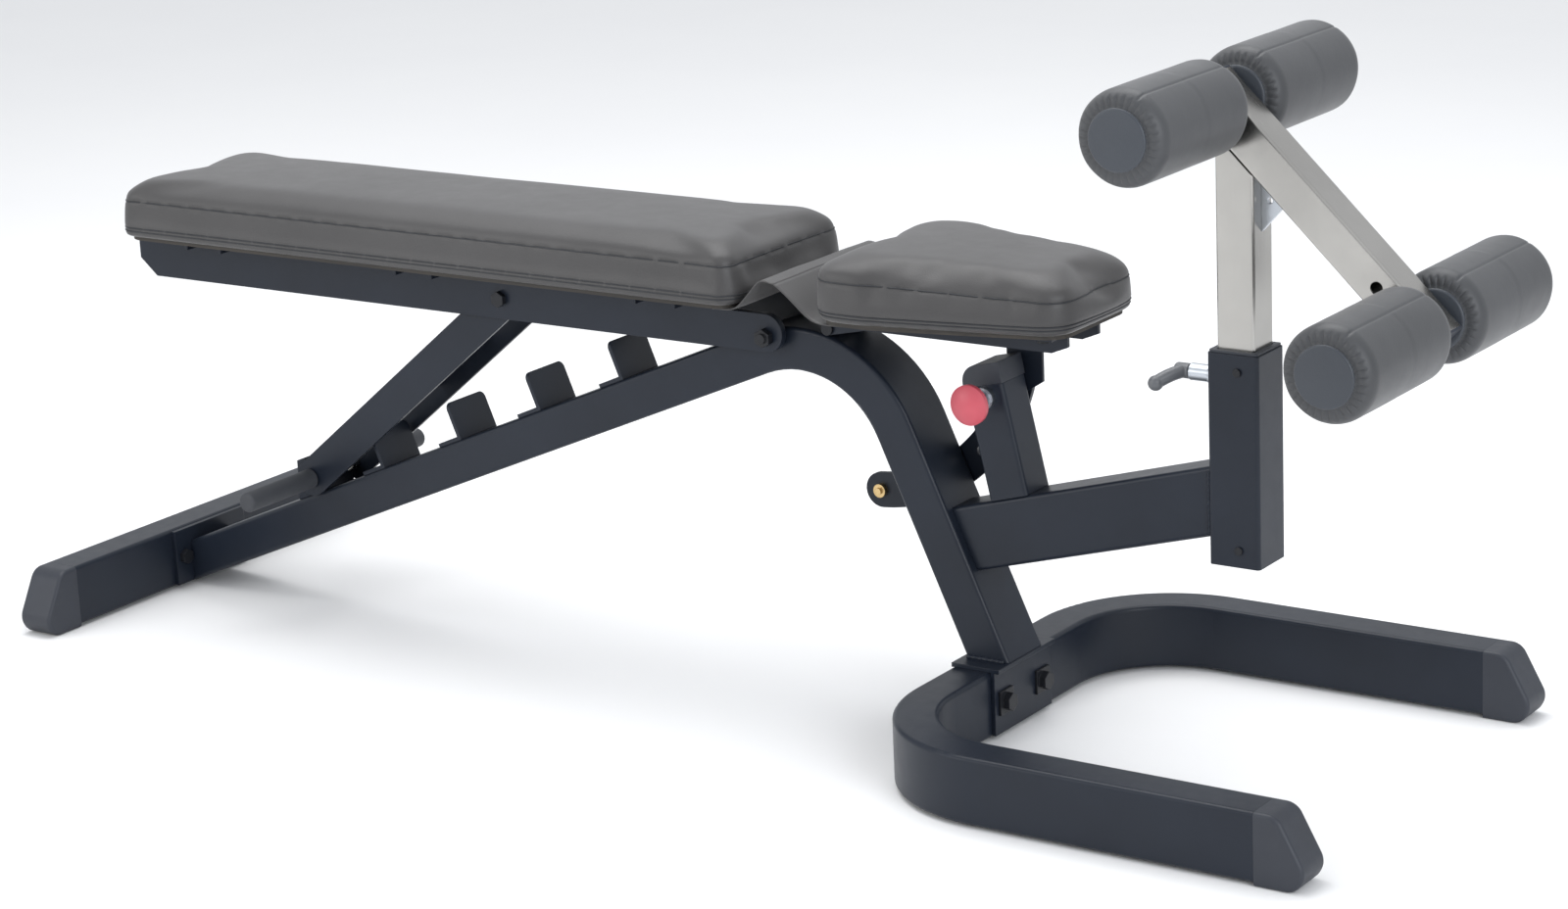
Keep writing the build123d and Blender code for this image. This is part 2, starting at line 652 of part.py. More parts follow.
def leg_pin_handle():
    """The bent handle on the plunger: a hub and a short grip to the near side."""
    hub_x = SLEEVE_X - SLEEVE_W / 2 - 36
    body = rod((hub_x - 18, 0, LEG_PIN_Z), (hub_x, 0, LEG_PIN_Z), 17.0)
    body = fillet(body.edges().group_by(Axis.X)[0], 4.0)
    path = Spline((hub_x - 8, -3, LEG_PIN_Z), (hub_x - 15, -14, LEG_PIN_Z - 2), (hub_x - 26, -30, LEG_PIN_Z - 9))
    grip_plane = Plane(origin=path @ 0, z_dir=path % 0)
    body += sweep(grip_plane * Circle(7.5), path=path)
    body += Pos(*(path @ 1)) * Sphere(8.5)
    inside = rod((hub_x - 14, 0, LEG_PIN_Z), (hub_x + 1, 0, LEG_PIN_Z), PIN_D)
    return body - inside


# ---- sleeve and hold-down ---------------------------------------------------------------------------------
def square_sleeve(outer, inner, z, corner):
    """A square tube standing on the sleeve's centre line."""
    body = RectangleRounded(outer, outer, corner) - RectangleRounded(inner, inner, max(corner - 1.5, 1.0))
    return extrude(Plane(origin=(SLEEVE_X, 0, z[0])) * body, amount=z[1] - z[0])


def leg_pin_hole():
    """The bore that the hold-down's pin passes through."""
    return rod((SLEEVE_X - SLEEVE_W, 0, LEG_PIN_Z), (SLEEVE_X, 0, LEG_PIN_Z), PIN_D + 2 * RUN_FIT)


def post_sleeve():
    """The steel sleeve at the end of the arm."""
    return square_sleeve(SLEEVE_W, SLEEVE_W - 2 * SLEEVE_WALL, SLEEVE_Z, 4.0) - leg_pin_hole()


def sleeve_bushing():
    """The plastic guide in the sleeve, with a thin lip on top."""
    bore = POST_W + 4 * RUN_FIT
    body = square_sleeve(SLEEVE_W - 2 * SLEEVE_WALL, bore, (SLEEVE_Z[0] + 4, SLEEVE_Z[1]), 3.0)
    body += square_sleeve(SLEEVE_W - 3, bore, (SLEEVE_Z[1], SLEEVE_Z[1] + 3), 3.0)
    return body - leg_pin_hole()


def sleeve_screws():
    """The two small screws on the near face that hold the guide."""
    screws = []
    for z in (SLEEVE_Z[0] + 19, SLEEVE_Z[1] - 19):
        face = -SLEEVE_W / 2
        screws.append(rod((SLEEVE_X + 6, face - 2.5, z), (SLEEVE_X + 6, face, z), 9.0))
    return screws


def arm_direction():
    """Unit direction of the roller arm, from the upper axle to the lower one."""
    run = (LOWER_AXLE[0] - UPPER_AXLE[0], LOWER_AXLE[1] - UPPER_AXLE[1])
    length = hypot(*run)
    return run[0] / length, run[1] / length


def arm_underside(x):
    """Height of the roller arm's lower face at x."""
    dx, dz = arm_direction()
    return UPPER_AXLE[1] + dz / dx * (x - UPPER_AXLE[0]) - POST_W / 2 / dx


def leg_post():
    """The chromed post in the sleeve, cut to the slope of the roller arm, with its row of holes."""
    path = Line((SLEEVE_X, 0, POST_FOOT_Z), (SLEEVE_X, 0, 760))
    body = tube(path, POST_W, POST_W, POST_WALL, 3.5, (1, 0, 0))
    keep = polygon([(600, 200), (720, 200), (720, arm_underside(720)), (600, arm_underside(600))])
    body &= slab(keep, (-40, 40))
    for step in (-3, -2, -1, 1, 2, 3):
        z = LEG_PIN_Z + 25.0 * step
        body -= rod((SLEEVE_X - POST_W, 0, z), (SLEEVE_X, 0, z), PIN_D + 1)
    return body - rod((SLEEVE_X - POST_W, 0, LEG_PIN_Z), (SLEEVE_X, 0, LEG_PIN_Z), PIN_D + 1)


def roller_arm():
    """The sloping chromed tube between the two axles."""
    dx, dz = arm_direction()
    start = (UPPER_AXLE[0] - dx * ARM_PAST_AXLE, 0, UPPER_AXLE[1] - dz * ARM_PAST_AXLE)
    end = (LOWER_AXLE[0] + dx * ARM_PAST_AXLE, 0, LOWER_AXLE[1] + dz * ARM_PAST_AXLE)
    body = tube(Line(start, end), POST_W, POST_W, POST_WALL, 3.5, (0, 1, 0))
    for axle in (UPPER_AXLE, LOWER_AXLE):
        body -= cross_rod(axle, (-40, 40), AXLE_D)
    hole = (LOWER_AXLE[0] - dx * 58.0, LOWER_AXLE[1] - dz * 58.0)
    return body - cross_rod(hole, (-40, 40), 14.0)


def arm_end_plugs():
    """The plastic plugs in the two ends of the roller arm."""
    dx, dz = arm_direction()
    inner = POST_W - 2 * POST_WALL
    plugs = []
    for axle, sign in ((UPPER_AXLE, -1), (LOWER_AXLE, 1)):
        run = Vector(sign * dx, 0, sign * dz)
        base = Vector(axle[0], 0, axle[1]) + run * (ARM_PAST_AXLE - 8.0)
        plane = Plane(origin=base, x_dir=(0, 1, 0), z_dir=run)
        plug = extrude(plane * RectangleRounded(inner, inner, 1.9), amount=8.0)
        lip = Plane(origin=base + run * 8.0, x_dir=(0, 1, 0), z_dir=run)
        plugs.append(plug + extrude(lip * RectangleRounded(POST_W, POST_W, 3.5), amount=3.0))
    return Compound(children=plugs)


def arm_gusset():
    """The small plate with a hole, between the post and the roller arm."""
    face = SLEEVE_X + POST_W / 2
    tip = face + 30.0
    outline = polygon([(face, arm_underside(face)), (tip, arm_underside(tip)), (face, arm_underside(face) - 62)])
    plate = slab(outline, (-3, 3))
    return plate - cross_rod((face + 10, arm_underside(face) - 28), (-5, 5), 7.0)


def roller_axles():
    """The two cross tubes that the rollers turn on."""
    axles = []
    for axle in (UPPER_AXLE, LOWER_AXLE):
        body = cross_rod(axle, (-AXLE_HALF, AXLE_HALF), AXLE_D)
        axles.append(body - cross_rod(axle, (-AXLE_HALF - 1, AXLE_HALF + 1), AXLE_D - 5))
    return Compound(children=axles)


def roller_pad(axle):
    """One foam roller on the left side, with its bore."""
    body = cross_rod(axle, ROLLER_Y, ROLLER_D)
    body = fillet(body.edges().filter_by(GeomType.CIRCLE), 12.0)
    return body - cross_rod(axle, (0, 300), ROLLER_BORE)


def roller_discs(axle):
    """The end discs of one roller: an open one inside and a closed one outside."""
    inside = cross_rod(axle, (ROLLER_Y[0] - DISC_THICK, ROLLER_Y[0]), DISC_D)
    inside -= cross_rod(axle, (0, 60), AXLE_D + 2 * RUN_FIT)
    outside = cross_rod(axle, (ROLLER_Y[1], ROLLER_Y[1] + DISC_THICK), DISC_D)
    return Compound(children=[inside, outside])


# ---- write every node -------------------------------------------------------------------------------------
cap_front_left = Pos(BASE_SEAM_X, BASE_HALF_Y, 0) * end_cap()
cap_rear_left = Pos(REAR_X, REAR_HALF, 0) * Rot(0, 0, 90) * end_cap()
seat_bolt_places = [(x, y) for x in (233.0, 448.0) for y in (-55.0, 55.0)]
back_bolt_places = [(x, y) for x in CROSS_X for y in (-65.0, 65.0)]

save("u_base_tube", u_base())
save("u_base_cap_left", cap_front_left)
save("u_base_cap_right", mirrored(cap_front_left))
save("saddle_bracket", saddle())
save("main_beam", main_beam())
save("rear_stabilizer_tube", rear_stabilizer())
save("stabilizer_cap_left", cap_rear_left)
save("stabilizer_cap_right", mirrored(cap_rear_left))
save("beam_flange_plate", beam_flange())
save("frame_bolts", Compound(children=saddle_bolts() + flange_bolts() + sleeve_screws()))
for number, catch_x in enumerate(CATCH_X, start=1):
    save(f"ladder_catch_{number}", ladder_catch(catch_x))
save("ladder_end_catch", end_catch())
save("hinge_bolt", hinge_bolt())
save("hinge_tubes", Compound(children=hinge_spacers() + [seat_hinge_tube()]))
save("seat_pivot_bolt", seat_pivot_bolt())
save("front_arm_tube", front_arm())
save("post_sleeve", post_sleeve())
save("sleeve_bushing", sleeve_bushing())
save("seat_support_post", seat_post())
save("seat_post_cap", seat_post_cap())
save("seat_pin_barrel", seat_pin_barrel())
save("leg_pin_barrel", leg_pin_barrel())

save("backrest_rail_left", backrest_rail())
save("backrest_rail_right", mirrored(backrest_rail()))
save("backrest_cross_channels", cross_channels())
save("backrest_board", backrest_board())
save("backrest_pad", backrest_pad())
under_channel = pad_bolts(back_bolt_places, CROSS_TOP - 4)
save("backrest_bolts", Compound(children=[strut_pivot_bolt()] + under_channel))

save("strut_plate_left", strut_plate())
save("strut_plate_right", mirrored(strut_plate()))
save("strut_web", strut_web())
save("catch_bar", catch_bar())
save("grip_left", grip())
save("grip_right", mirrored(grip()))

save("seat_frame", seat_frame())
save("seat_arc_plate", seat_arc())
save("seat_stop_bolt", seat_stop_bolt())
save("seat_board", seat_board())
save("seat_pad", seat_pad())
save("seat_pad_bolts", Compound(children=pad_bolts(seat_bolt_places, SEAT_RAIL_TOP - 4)))

save("seat_pin_plunger", seat_pin_plunger())
save("seat_pin_knob", seat_pin_knob())
save("leg_pin_plunger", leg_pin_plunger())
save("leg_pin_handle", leg_pin_handle())

save("leg_post", leg_post())
save("roller_arm", roller_arm())
save("arm_end_plugs", arm_end_plugs())
save("arm_gusset", arm_gusset())
save("roller_axles", roller_axles())
for level, axle_at in (("upper", UPPER_AXLE), ("lower", LOWER_AXLE)):
    pair = (("left", roller_pad(axle_at), roller_discs(axle_at)),
            ("right", mirrored(roller_pad(axle_at)), mirrored(roller_discs(axle_at))))
    for side, pad, discs in pair:
        save(f"roller_pad_{level}_{side}", pad)
        save(f"roller_discs_{level}_{side}", discs)
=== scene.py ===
import json
import math
import random

import bmesh
import bpy
from mathutils import Matrix, Vector, noise
from mathutils.bvhtree import BVHTree


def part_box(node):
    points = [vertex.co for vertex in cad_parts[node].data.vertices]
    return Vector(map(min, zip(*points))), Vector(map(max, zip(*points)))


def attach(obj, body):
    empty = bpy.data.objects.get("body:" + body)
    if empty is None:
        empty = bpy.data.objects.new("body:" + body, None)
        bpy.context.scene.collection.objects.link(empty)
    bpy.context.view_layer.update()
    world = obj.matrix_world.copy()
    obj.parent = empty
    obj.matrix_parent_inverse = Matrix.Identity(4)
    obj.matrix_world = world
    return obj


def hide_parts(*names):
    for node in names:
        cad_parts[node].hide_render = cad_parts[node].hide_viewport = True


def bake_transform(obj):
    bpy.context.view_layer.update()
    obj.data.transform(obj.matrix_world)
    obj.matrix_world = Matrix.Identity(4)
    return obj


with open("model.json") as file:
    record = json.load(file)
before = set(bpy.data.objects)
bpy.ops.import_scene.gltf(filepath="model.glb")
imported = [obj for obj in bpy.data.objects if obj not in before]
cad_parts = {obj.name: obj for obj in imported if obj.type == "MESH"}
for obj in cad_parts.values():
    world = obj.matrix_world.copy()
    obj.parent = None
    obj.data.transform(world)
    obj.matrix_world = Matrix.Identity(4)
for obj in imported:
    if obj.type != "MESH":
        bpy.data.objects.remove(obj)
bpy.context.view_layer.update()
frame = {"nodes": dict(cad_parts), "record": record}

# Looks of the bench: its cushions, rollers, flap, materials, lights and camera. Metres, in the
# frame of the CAD model.
random.seed(7)

# ---- small helpers --------------------------------------------------------------------------------
def add_mesh(name, verts, faces, smooth=True):
    """A new object from points and faces."""
    mesh = bpy.data.meshes.new(name)
    mesh.from_pydata([tuple(v) for v in verts], [], faces)
    mesh.update()
    work = bmesh.new()
    work.from_mesh(mesh)
    bmesh.ops.recalc_face_normals(work, faces=work.faces)
    work.to_mesh(mesh)
    work.free()
    obj = bpy.data.objects.new(name, mesh)
    bpy.context.scene.collection.objects.link(obj)
    for face in mesh.polygons:
        face.use_smooth = smooth
    return obj


def loops_to_faces(rings, size, closed=True):
    """Quads between rings of the same size, ring after ring."""
    faces = []
    span = size if closed else size - 1
    for r in range(rings - 1):
        for i in range(span):
            j = (i + 1) % size
            faces.append((r * size + i, r * size + j, (r + 1) * size + j, (r + 1) * size + i))
    return faces


def set_material(obj, material):
    """One material for the whole object."""
    obj.data.materials.clear()
    obj.data.materials.append(material)


def smoothstep(low, high, x):
    """0 below low, 1 above high, smooth between."""
    t = min(max((x - low) / (high - low), 0.0), 1.0)
    return t * t * (3 - 2 * t)


# ---- materials ------------------------------------------------------------------------------------
class Shader:
    """A node material with a few short ways to build it."""

    def __init__(self, name):
        self.material = bpy.data.materials.new(name)
        self.material.use_nodes = True
        self.tree = self.material.node_tree
        self.bsdf = self.tree.nodes["Principled BSDF"]
        coord = self.tree.nodes.new("ShaderNodeTexCoord")
        self.place = coord.outputs["Object"]

    def node(self, kind, **values):
        made = self.tree.nodes.new(kind)
        for key, value in values.items():
            if key in made.inputs:
                made.inputs[key].default_value = value
            else:
                setattr(made, key, value)
        return made

    def link(self, output, socket):
        self.tree.links.new(output, socket)

    def stretched(self, scale):
        """Object coordinates, stretched."""
        mapping = self.node("ShaderNodeMapping")
        mapping.inputs["Scale"].default_value = scale
        self.link(self.place, mapping.inputs["Vector"])
        return mapping.outputs["Vector"]

    def noise(self, scale, detail=4.0, rough=0.55, where=None):
        made = self.node("ShaderNodeTexNoise", Scale=scale, Detail=detail, Roughness=rough)
        self.link(where or self.place, made.inputs["Vector"])
        return made.outputs["Fac"]

    def ramp(self, factor, stops):
        made = self.node("ShaderNodeValToRGB")
        ramp = made.color_ramp
        while len(ramp.elements) < len(stops):
            ramp.elements.new(0.5)
        for element, (where, colour) in zip(ramp.elements, stops):
            element.position = where
            element.color = (*colour, 1.0)
        self.link(factor, made.inputs["Fac"])
        return made.outputs["Color"]

    def span(self, factor, low, high):
        made = self.node("ShaderNodeMapRange")
        made.inputs["To Min"].default_value = low
        made.inputs["To Max"].default_value = high
        self.link(factor, made.inputs["Value"])
        return made.outputs["Result"]

    def bump(self, height, strength, distance, after=None):
        made = self.node("ShaderNodeBump", Strength=strength, Distance=distance)
        self.link(height, made.inputs["Height"])
        if after is not None:
            self.link(after, made.inputs["Normal"])
        return made.outputs["Normal"]

    def rounded(self, radius):
        made = self.node("ShaderNodeBevel", samples=4, Radius=radius)
        return made.outputs["Normal"]

    def finish(self, colour, roughness, normal=None):
        self.link(colour, self.bsdf.inputs["Base Color"])
        self.link(roughness, self.bsdf.inputs["Roughness"])
        if normal is not None:
            self.link(normal, self.bsdf.inputs["Normal"])
        return self.material


def scaled(colour, factor):
    """A colour, lighter or darker."""
    return tuple(min(c * factor, 1.0) for c in colour)


def painted(name, colour, rough=(0.30, 0.42)):
    """Satin powder coat: fine orange peel, faint cloudy tone, softly rounded edges."""
    s = Shader(name)
    cloud = s.noise(7.0, 5.0)
    peel = s.noise(900.0, 2.0)
    tone = s.ramp(cloud, [(0.3, scaled(colour, 0.86)), (0.7, scaled(colour, 1.18))])
    normal = s.bump(peel, 0.10, 0.0004, s.rounded(0.0016))
    s.bsdf.inputs["Specular IOR Level"].default_value = 0.28
    return s.finish(tone, s.span(s.noise(60.0, 3.0), *rough), normal)


def moulded(name, colour, rough=(0.42, 0.56), grain=0.25):
    """Moulded plastic or rubber with a fine spark-eroded grain."""
    s = Shader(name)
    fine = s.noise(1400.0, 2.0)
    tone = s.ramp(s.noise(18.0), [(0.3, scaled(colour, 0.92)), (0.7, scaled(colour, 1.08))])
    normal = s.bump(fine, grain, 0.0003, s.rounded(0.0012))
    return s.finish(tone, s.span(s.noise(90.0), *rough), normal)


def metal(name, colour, rough, stretch, line_depth=0.12):
    """Polished or satin metal, with fine lines along its length."""
    s = Shader(name)
    lines = s.noise(1.0, 3.0, 0.6, s.stretched(stretch))
    tone = s.ramp(s.noise(9.0), [(0.3, scaled(colour, 0.90)), (0.7, scaled(colour, 1.06))])
    s.bsdf.inputs["Metallic"].default_value = 1.0
    normal = s.bump(lines, line_depth, 0.0002, s.rounded(0.0012))
    return s.finish(tone, s.span(lines, *rough), normal)


def vinyl(name, colour, rough=(0.40, 0.56)):
    """Upholstery vinyl: small pebbled grain, soft wear in the tone."""
    s = Shader(name)
    cells = s.node("ShaderNodeTexVoronoi", Scale=620.0)
    s.link(s.place, cells.inputs["Vector"])
    pebble = cells.outputs["Distance"]
    broad = s.noise(5.0, 6.0)
    tone = s.ramp(broad, [(0.28, scaled(colour, 0.88)), (0.72, scaled(colour, 1.15))])
    first = s.bump(pebble, 0.22, 0.0004)
    second = s.bump(s.noise(28.0, 5.0), 0.10, 0.003, first)
    s.bsdf.inputs["Sheen Weight"].default_value = 0.12
    s.bsdf.inputs["Sheen Roughness"].default_value = 0.45
    s.bsdf.inputs["Specular IOR Level"].default_value = 0.45
    return s.finish(tone, s.span(s.noise(34.0, 4.0), *rough), second)


def stained_wood(name):
    """Plywood stained black, with its grain along X."""
    s = Shader(name)
    grain = s.noise(1.0, 6.0, 0.6, s.stretched((6.0, 240.0, 240.0)))
    tone = s.ramp(grain, [(0.3, (0.016, 0.014, 0.012)), (0.75, (0.05, 0.042, 0.034))])
    return s.finish(tone, s.span(grain, 0.6, 0.8), s.bump(grain, 0.3, 0.0006))


NAVY = (0.0105, 0.0145, 0.0235)
M = {
    "powder_coat": painted("powder_coat", NAVY),
    "cap_plastic": moulded("cap_plastic", (0.020, 0.024, 0.034)),
    "dark_fastener": painted("dark_fastener", (0.012, 0.013, 0.016), (0.28, 0.4)),
    "brass": metal("brass", (0.62, 0.45, 0.22), (0.25, 0.4), (300, 300, 300)),
    "chrome_steel": metal("chrome_steel", (0.43, 0.42, 0.40), (0.15, 0.30), (700, 700, 9)),
    "zinc_steel": metal("zinc_steel", (0.50, 0.53, 0.57), (0.25, 0.40), (500, 500, 500)),
    "red_knob": moulded("red_knob", (0.56, 0.085, 0.115), (0.36, 0.48), 0.1),
    "handle_plastic": moulded("handle_plastic", (0.11, 0.115, 0.125), (0.3, 0.42)),
    "grip_rubber": moulded("grip_rubber", (0.038, 0.041, 0.048), (0.62, 0.75), 0.4),
    "board_wood": stained_wood("board_wood"),
    "vinyl": vinyl("vinyl", (0.047, 0.0455, 0.046)),
    "roller_vinyl": vinyl("roller_vinyl", (0.044, 0.046, 0.050)),
    "disc_vinyl": vinyl("disc_vinyl", (0.036, 0.042, 0.052), (0.34, 0.46)),
    "thread": moulded("thread", (0.016, 0.018, 0.022), (0.5, 0.65), 0.3),
}
M["arm_chrome"] = metal("arm_chrome", (0.43, 0.42, 0.40), (0.16, 0.32), (60, 700, 60))

slots = {row["node"]: row["material_slot"] for row in frame["record"]["subparts"]}
for node, obj in frame["nodes"].items():
    set_material(obj, M[slots[node]])
for node in ("roller_arm",):
    set_material(frame["nodes"][node], M["arm_chrome"])


# ---- cushions -------------------------------------------------------------------------------------
def rounded_outline(corners, radii, steps=12, straight=0.012):
    """Points round a convex polygon whose corners are rounded, with even runs between."""
    points = []
    count = len(corners)
    for i in range(count):
        before = Vector(corners[i - 1])
        here = Vector(corners[i])
        after = Vector(corners[(i + 1) % count])
        a = (before - here).normalized()
        b = (after - here).normalized()
        half = a.angle(b) / 2
        reach = radii[i] / math.tan(half)
        centre = here + (a + b).normalized() * radii[i] / math.sin(half)
        start = here + a * reach - centre
        turn = math.pi - 2 * half
        sign = 1 if a.x * b.y - a.y * b.x < 0 else -1
        for k in range(steps + 1):
            angle = sign * turn * k / steps
            spin = Matrix.Rotation(angle, 2)
            points.append(centre + spin @ start)
    dense = []
    for i, p in enumerate(points):
        q = points[(i + 1) % len(points)]
        parts = max(1, round((q - p).length / straight))
        dense += [p.lerp(q, k / parts) for k in range(parts)]
    return dense


def outline_normals(outline):
    """Outward unit normals of a counter-clockwise outline."""
    normals = []
    for i, p in enumerate(outline):
        along = outline[(i + 1) % len(outline)] - outline[i - 1]
        normals.append(Vector((along.y, -along.x)).normalized())
    return normals


def filled_rings(name, rings):
    """A closed body from stacked rings, with its two ends fanned to a centre."""
    size = len(rings[0])
    verts = [p for ring in rings for p in ring]
    faces = loops_to_faces(len(rings), size)
    for ring, offset in ((rings[0], 0), (rings[-1], (len(rings) - 1) * size)):
        middle = sum(ring, Vector()) / size
        verts.append(middle)
        hub = len(verts) - 1
        faces += [(hub, offset + i, offset + (i + 1) % size) for i in range(size)]
    return add_mesh(name, verts, faces)


def inflate(obj, base_z, hold, cap):
    """Blow the cushion up a little as cloth, held where it lies on its board."""
    scene = bpy.context.scene
    remesh = obj.modifiers.new("remesh", "REMESH")
    remesh.mode = "VOXEL"
    remesh.voxel_size = 0.006
    graph = bpy.context.evaluated_depsgraph_get()
    mesh = bpy.data.meshes.new_from_object(obj.evaluated_get(graph))
    obj.modifiers.clear()
    obj.data = mesh
    rest = [v.co.copy() for v in mesh.vertices]
    group = obj.vertex_groups.new(name="held")
    group.add([i for i, p in enumerate(rest) if p.z < base_z + hold], 1.0, "REPLACE")
    cloth = obj.modifiers.new("cloth", "CLOTH")
    cloth.settings.quality = 5
    cloth.settings.mass = 0.25
    cloth.settings.tension_stiffness = 18
    cloth.settings.compression_stiffness = 18
    cloth.settings.bending_stiffness = 2.5
    cloth.settings.use_pressure = True
    cloth.settings.uniform_pressure_force = 4.0
    cloth.settings.effector_weights.gravity = 0.0
    cloth.settings.vertex_group_mass = "held"
    cloth.point_cache.frame_start = 1
    cloth.point_cache.frame_end = 20
    for number in range(1, 21):
        scene.frame_set(number)
    graph = bpy.context.evaluated_depsgraph_get()
    blown = obj.evaluated_get(graph).data
    moved = [v.co.copy() for v in blown.vertices]
    obj.modifiers.clear()
    obj.vertex_groups.clear()
    scene.frame_set(1)
    for vertex, start, end in zip(mesh.vertices, rest, moved):
        step = end - start
        if step.length > cap:
            step *= cap / step.length
        vertex.co = start + step


def relax(obj, rounds, factor=0.5):
    """Even out the surface."""
    work = bmesh.new()
    work.from_mesh(obj.data)
    for _ in range(rounds):
        bmesh.ops.smooth_vert(work, verts=work.verts, factor=factor, use_axis_x=True, use_axis_y=True,
                              use_axis_z=True)
    work.to_mesh(obj.data)
    work.free()


def tube_mesh(name, points, radius, closed=True, sides=6):
    """A thin round cord through points."""
    count = len(points)
    verts = []
    for i, p in enumerate(points):
        if closed:
            along = (points[(i + 1) % count] - points[i - 1]).normalized()
        else:
            along = (points[min(i + 1, count - 1)] - points[max(i - 1, 0)]).normalized()
        side = along.cross(Vector((0, 0, 1)))
        if side.length < 0.2:
            side = along.cross(Vector((0, 1, 0)))
        side.normalize()
        up = side.cross(along)
        for k in range(sides):
            angle = 2 * math.pi * k / sides
            verts.append(p + side * math.cos(angle) * radius + up * math.sin(angle) * radius)
    faces = loops_to_faces(count, sides)
    if closed:
        last = (count - 1) * sides
        faces += [(last + k, last + (k + 1) % sides, (k + 1) % sides, k) for k in range(sides)]
    else:
        faces.append(tuple(range(sides)))
        faces.append(tuple(range((count - 1) * sides, count * sides)))
    return add_mesh(name, verts, faces)


def side_seam(name, cushion, outline, normals, height, radius, body, out=0.0002):
    """A seam that follows the side of a cushion at a height."""
    tree = BVHTree.FromPolygons([v.co for v in cushion.data.vertices],
                                [tuple(p.vertices) for p in cushion.data.polygons])
    points = []
    for p, n in zip(outline, normals):
        z = height(p) if callable(height) else height
        start = Vector((p.x + n.x * 0.04, p.y + n.y * 0.04, z))
        hit = tree.ray_cast(start, Vector((-n.x, -n.y, 0)), 0.1)[0]
        if hit is not None:
            points.append(hit + Vector((n.x, n.y, 0)) * out)
    seam = tube_mesh(name, points, radius)
    set_material(seam, M["thread"])
    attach(seam, body)
    return seam


def make_cushion(name, body, nodes, outline, low, high, crown, seams, top_at=None):
    """A crowned pad over an outline: blown up as cloth, then grooved and seamed.

    seams is a list of (height above the bottom or below the top, groove depth, from the top)."""
    inset = 0.006
    normals = outline_normals(outline)
    edge = 0.014
    rings = []
    profile = [(-0.030, 0.0), (-0.012, 0.0), (-0.003, 0.0015), (0.0, 0.006)]
    tall = high - low
    profile += [(0.0, tall * f) for f in (0.25, 0.45, 0.62)]
    for k in range(1, 7):
        angle = math.pi / 2 * k / 6
        profile.append((-edge * (1 - math.cos(angle)), tall - edge + edge * math.sin(angle)))
    profile += [(-0.030, tall), (-0.055, tall)]
    for offset, z in profile:
        ring = []
        for p, n in zip(outline, normals):
            q = p + n * (offset - inset)
            ring.append(Vector((q.x, q.y, low + z)))
        rings.append(ring)
    pad = filled_rings(name, rings)
    inflate(pad, low, 0.004, 0.009)
    relax(pad, 4)
    xs = [p.x for p in outline]
    ys = [abs(p.y) for p in outline]
    x0, x1, half = min(xs), max(xs), max(ys)
    for v in pad.data.vertices:
        u = (v.co.x - x0) / (x1 - x0)
        w = v.co.y / half
        lift = crown * max(0.0, 1 - (2 * u - 1) ** 6) * max(0.0, 1 - w * w)
        above = (v.co.z - low) / tall
        v.co.z += lift * smoothstep(0.55, 1.0, above)
        if top_at is not None:
            v.co.z -= top_at(v.co.x) * smoothstep(0.1, 1.0, above)
        ripple = noise.noise(Vector((v.co.x * 9, v.co.y * 9, v.co.z * 14)))
        v.co.z += 0.0007 * ripple * smoothstep(0.5, 1.0, above)
    subdivide(pad)
    for v in pad.data.vertices:
        inward = Vector((0.0, 0.0))
        nearest = min(range(0, len(outline), 3), key=lambda i: (outline[i] - v.co.xy).length_squared)
        if (outline[nearest] - v.co.xy).length > 0.02:
            continue
        for where, depth, from_top in seams:
            z = high - where - (top_at(v.co.x) if top_at else 0) if from_top else low + where
            near = math.exp(-((v.co.z - z) / 0.0016) ** 2)
            inward -= normals[nearest] * depth * near
        v.co.x += inward.x
        v.co.y += inward.y
    set_material(pad, M["vinyl"])
    for face in pad.data.polygons:
        face.use_smooth = True
    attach(pad, body)
    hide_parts(*nodes)
    for number, (where, depth, from_top) in enumerate(seams):
        def height(p):
            drop = top_at(p.x) if top_at and from_top else 0.0
            return high - where - drop if from_top else low + where
        side_seam(f"{name}_seam_{number}", pad, outline, normals, height, 0.0009, body)
    return pad


def subdivide(obj):
    """One level of subdivision, applied."""
    level = obj.modifiers.new("smooth", "SUBSURF")
    level.levels = 1
    graph = bpy.context.evaluated_depsgraph_get()
    mesh = bpy.data.meshes.new_from_object(obj.evaluated_get(graph))
    obj.modifiers.clear()
    obj.data = mesh


def box_of(node):
    """Lowest and highest corner of a node, as vectors."""
    low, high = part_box(node)
    return Vector(low), Vector(high)


PAD_SEAMS = [(0.016, 0.0014, True), (0.009, 0.0012, False), (0.013, 0.0012, False)]
back_low, back_high = box_of("backrest_pad")
board_low, board_high = box_of("backrest_board")
back_outline = rounded_outline(
    [(back_low.x, back_low.y), (back_high.x, back_low.y), (back_high.x, back_high.y), (back_low.x, back_high.y)],
    [0.034] * 4,
)
backrest = make_cushion("backrest_cushion", "backrest", ["backrest_pad"], back_outline,
                        board_low.z + 0.003, back_high.z, 0.004, PAD_SEAMS)

seat_low, seat_high = box_of("seat_pad")
seat_board_low, seat_board_high = box_of("seat_board")
REAR_STRAIGHT = 0.070
FRONT_HALF = 0.090
seat_rear_half = seat_high.y
seat_outline = rounded_outline(
    [(seat_low.x, -seat_rear_half), (seat_low.x + REAR_STRAIGHT, -seat_rear_half), (seat_high.x, -FRONT_HALF),
     (seat_high.x, FRONT_HALF), (seat_low.x + REAR_STRAIGHT, seat_rear_half), (seat_low.x, seat_rear_half)],
    [0.042, 0.080, 0.042, 0.042, 0.080, 0.042],
)


def seat_drop(x):
    """The seat's top falls a little towards its front."""
    return 0.009 * smoothstep(seat_low.x + 0.05, seat_high.x, x)


